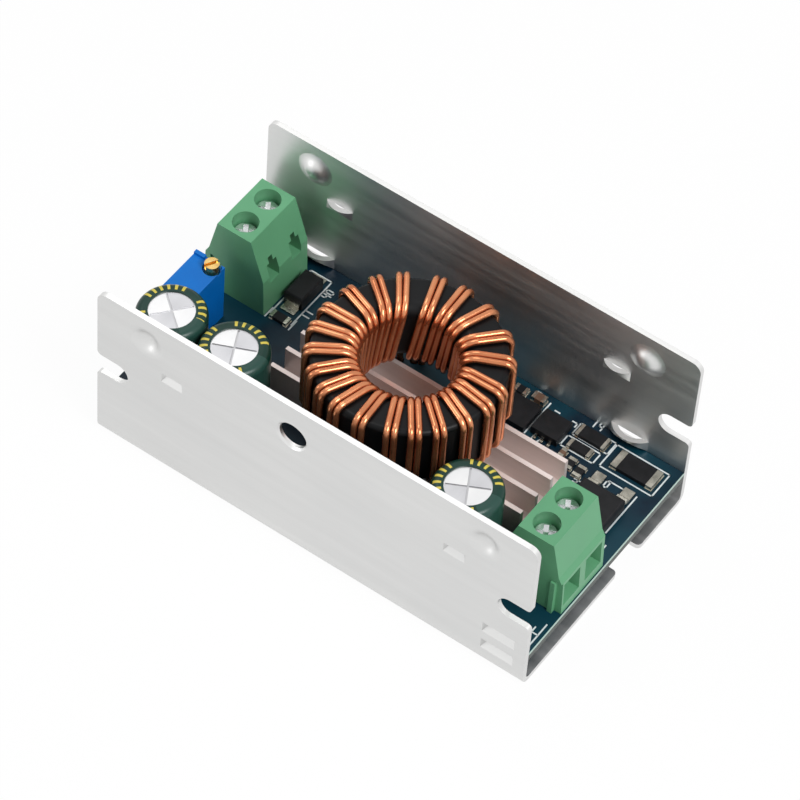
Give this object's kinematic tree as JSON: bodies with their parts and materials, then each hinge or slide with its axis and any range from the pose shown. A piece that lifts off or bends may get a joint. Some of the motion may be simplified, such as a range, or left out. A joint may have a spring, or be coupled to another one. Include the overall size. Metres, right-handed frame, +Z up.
{
  "type": "buck converter module",
  "caption": "Step-down power module in an open folded aluminium channel, with a toroidal choke, finned heatsink, capacitors, trimmer and screw terminal blocks.",
  "frame": {"origin": "middle of the underside of the channel's base", "axes": "+X along the channel towards the input terminal block, +Y towards the far wall (the one with no round hole), +Z up out of the channel's open top"},
  "size_m": [0.0711, 0.0386, 0.0292],
  "materials": {
    "capacitor_1_can": "plain, etched",
    "capacitor_1_leads": "tinned",
    "capacitor_1_seal": "moulded",
    "capacitor_1_sleeve": "shrunk dark green film",
    "capacitor_2_can": "plain, etched",
    "capacitor_2_leads": "tinned",
    "capacitor_2_seal": "moulded",
    "capacitor_2_sleeve": "shrunk dark green film",
    "capacitor_3_can": "plain, etched",
    "capacitor_3_leads": "tinned",
    "capacitor_3_seal": "moulded",
    "capacitor_3_sleeve": "shrunk dark green film",
    "case_channel": "satin mill finish",
    "chip_capacitor_body": "fired ceramic",
    "chip_capacitor_terminals": "tinned",
    "chip_resistor_body": "moulded black",
    "chip_resistor_terminals": "tinned",
    "circuit_board": "blue solder mask over glass fibre",
    "control_chip": "moulded black",
    "driver_chip_body": "moulded black",
    "driver_chip_leads": "tinned",
    "heatsink": "extruded, satin",
    "input_clamp_1": "zinc plated, bright",
    "input_clamp_2": "zinc plated, bright",
    "input_contact_1": "tinned brass",
    "input_contact_2": "tinned brass",
    "input_screw_1": "zinc plated, bright",
    "input_screw_2": "zinc plated, bright",
    "input_terminal_housing": "moulded green",
    "output_clamp_1": "zinc plated, bright",
    "output_clamp_2": "zinc plated, bright",
    "output_contact_1": "tinned brass",
    "output_contact_2": "tinned brass",
    "output_screw_1": "zinc plated, bright",
    "output_screw_2": "zinc plated, bright",
    "output_terminal_housing": "moulded green",
    "power_package_body": "moulded black",
    "power_package_leads": "tinned",
    "power_transistors": "moulded black",
    "rectifier_diode_body": "moulded black",
    "rectifier_diode_leads": "tinned",
    "shunt_resistor_body": "moulded black",
    "shunt_resistor_terminals": "tinned",
    "solder_joints": "bright solder",
    "thermal_pad": "soft grey pad",
    "toroid_core": "gloss black coating on ferrite",
    "trimmer_body": "moulded blue",
    "trimmer_pins": "tinned",
    "trimmer_screw": "turned",
    "winding_strand_1": "enamelled copper wire",
    "winding_strand_2": "enamelled copper wire"
  },
  "bodies": {
    "module": {"capacitor_1_can": "capacitor_1_can", "capacitor_1_leads": "capacitor_1_leads", "capacitor_1_seal": "capacitor_1_seal", "capacitor_1_sleeve": "capacitor_1_sleeve", "capacitor_2_can": "capacitor_2_can", "capacitor_2_leads": "capacitor_2_leads", "capacitor_2_seal": "capacitor_2_seal", "capacitor_2_sleeve": "capacitor_2_sleeve", "capacitor_3_can": "capacitor_3_can", "capacitor_3_leads": "capacitor_3_leads", "capacitor_3_seal": "capacitor_3_seal", "capacitor_3_sleeve": "capacitor_3_sleeve", "case_channel": "case_channel", "chip_capacitor_body": "chip_capacitor_body", "chip_capacitor_terminals": "chip_capacitor_terminals", "chip_resistor_body": "chip_resistor_body", "chip_resistor_terminals": "chip_resistor_terminals", "circuit_board": "circuit_board", "control_chip": "control_chip", "driver_chip_body": "driver_chip_body", "driver_chip_leads": "driver_chip_leads", "heatsink": "heatsink", "input_contact_1": "input_contact_1", "input_contact_2": "input_contact_2", "input_terminal_housing": "input_terminal_housing", "output_contact_1": "output_contact_1", "output_contact_2": "output_contact_2", "output_terminal_housing": "output_terminal_housing", "power_package_body": "power_package_body", "power_package_leads": "power_package_leads", "power_transistors": "power_transistors", "rectifier_diode_body": "rectifier_diode_body", "rectifier_diode_leads": "rectifier_diode_leads", "shunt_resistor_body": "shunt_resistor_body", "shunt_resistor_terminals": "shunt_resistor_terminals", "solder_joints": "solder_joints", "thermal_pad": "thermal_pad", "toroid_core": "toroid_core", "trimmer_body": "trimmer_body", "trimmer_pins": "trimmer_pins", "winding_strand_1": "winding_strand_1", "winding_strand_2": "winding_strand_2"},
    "input_clamp_1": {"input_clamp_1": "input_clamp_1"},
    "input_clamp_2": {"input_clamp_2": "input_clamp_2"},
    "input_screw_1": {"input_screw_1": "input_screw_1"},
    "input_screw_2": {"input_screw_2": "input_screw_2"},
    "output_clamp_1": {"output_clamp_1": "output_clamp_1"},
    "output_clamp_2": {"output_clamp_2": "output_clamp_2"},
    "output_screw_1": {"output_screw_1": "output_screw_1"},
    "output_screw_2": {"output_screw_2": "output_screw_2"},
    "trimmer_screw": {"trimmer_screw": "trimmer_screw"}
  },
  "joints": [
    {"name": "trimmer_screw_turn", "type": "hinge", "parent": "module", "child": "trimmer_screw", "pos_m": [-0.0314, 0.00125, 0.0175], "axis": [0, 0, 1], "continuous": true},
    {"name": "input_screw_1_turn", "type": "hinge", "parent": "module", "child": "input_screw_1", "pos_m": [0.02985, -0.00864, 0.0175], "axis": [0, 0, -1], "range_deg": [0, 2160]},
    {"name": "input_clamp_1_rise", "type": "slide", "parent": "module", "child": "input_clamp_1", "axis": [0, 0, 1], "range_m": [0, 0.003]},
    {"name": "input_screw_2_turn", "type": "hinge", "parent": "module", "child": "input_screw_2", "pos_m": [0.02985, -0.00356, 0.0175], "axis": [0, 0, -1], "range_deg": [0, 2160]},
    {"name": "input_clamp_2_rise", "type": "slide", "parent": "module", "child": "input_clamp_2", "axis": [0, 0, 1], "range_m": [0, 0.003]},
    {"name": "output_screw_1_turn", "type": "hinge", "parent": "module", "child": "output_screw_1", "pos_m": [-0.03115, 0.01354, 0.0175], "axis": [0, 0, -1], "range_deg": [0, 2160]},
    {"name": "output_clamp_1_rise", "type": "slide", "parent": "module", "child": "output_clamp_1", "axis": [0, 0, 1], "range_m": [0, 0.003]},
    {"name": "output_screw_2_turn", "type": "hinge", "parent": "module", "child": "output_screw_2", "pos_m": [-0.03115, 0.00846, 0.0175], "axis": [0, 0, -1], "range_deg": [0, 2160]},
    {"name": "output_clamp_2_rise", "type": "slide", "parent": "module", "child": "output_clamp_2", "axis": [0, 0, 1], "range_m": [0, 0.003]}
  ],
  "couplings": [
    {"joint": "input_screw_1_turn", "follows": "input_clamp_1_rise", "rad_per_m": 12566},
    {"joint": "input_screw_2_turn", "follows": "input_clamp_2_rise", "rad_per_m": 12566},
    {"joint": "output_screw_1_turn", "follows": "output_clamp_1_rise", "rad_per_m": 12566},
    {"joint": "output_screw_2_turn", "follows": "output_clamp_2_rise", "rad_per_m": 12566}
  ]
}
